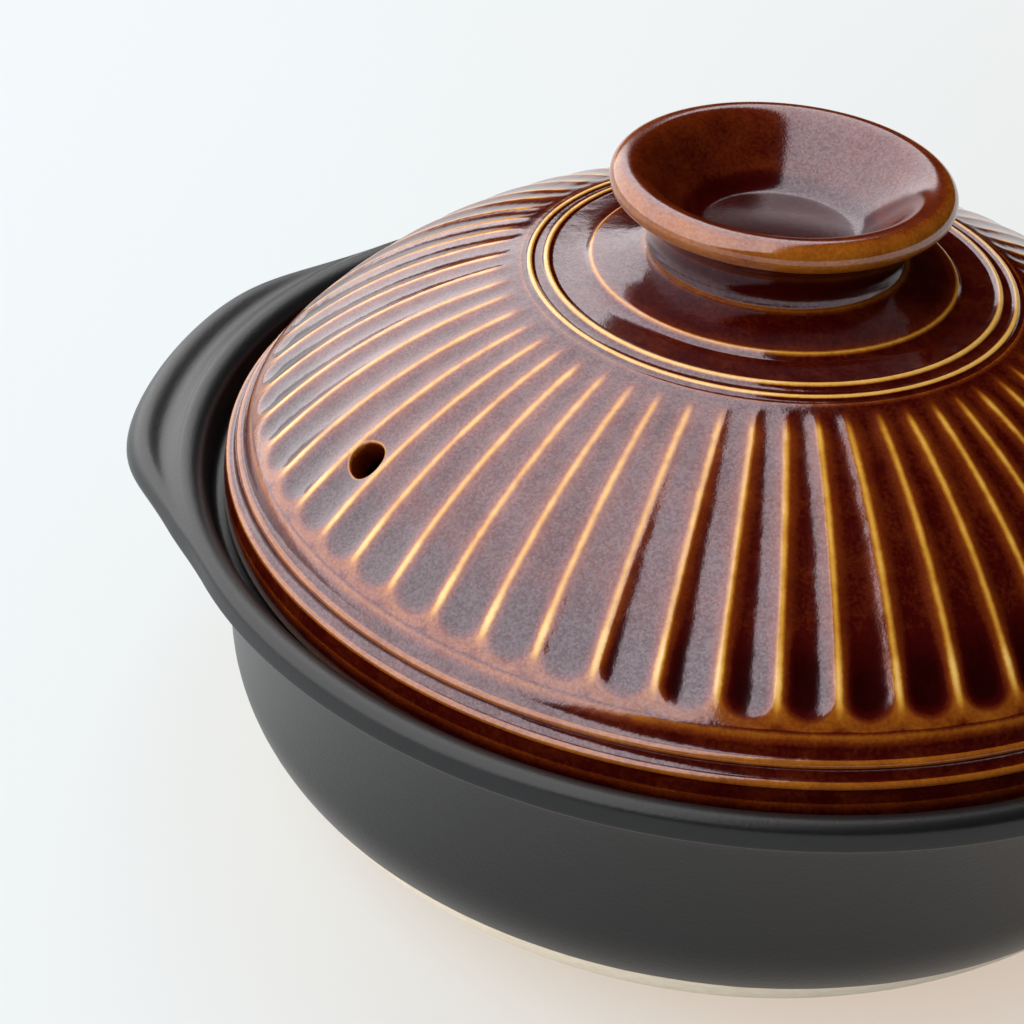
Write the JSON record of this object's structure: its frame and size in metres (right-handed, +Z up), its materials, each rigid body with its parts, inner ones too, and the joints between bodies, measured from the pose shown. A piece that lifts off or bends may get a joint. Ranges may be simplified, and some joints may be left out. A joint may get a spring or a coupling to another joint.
{
  "type": "lidded clay pot",
  "caption": "Round stoneware cooking pot with side lugs, a recessed rim and a fluted domed lid with a dished knob and steam hole.",
  "frame": {"origin": "centre of the foot, on the surface the pot stands on", "axes": "+Z up through the knob, X through the two lugs, the steam hole on the -X -Y side of the lid"},
  "size_m": [0.274, 0.25, 0.1482],
  "materials": {
    "pot_glaze": "semi-matte black glaze over cream stoneware, unglazed below the hip",
    "lid_glaze": "glossy amber glaze, pooled dark red-brown in the flutes"
  },
  "bodies": {
    "pot": {"pot_bowl": "pot_glaze", "handle_right": "pot_glaze", "handle_left": "pot_glaze"},
    "lid": {"lid_shell": "lid_glaze", "lid_knob": "lid_glaze"}
  },
  "joints": [
    {"name": "lid_lift", "type": "slide", "parent": "pot", "child": "lid", "axis": [0, 0, 1], "range_m": [0, 0.12]}
  ]
}
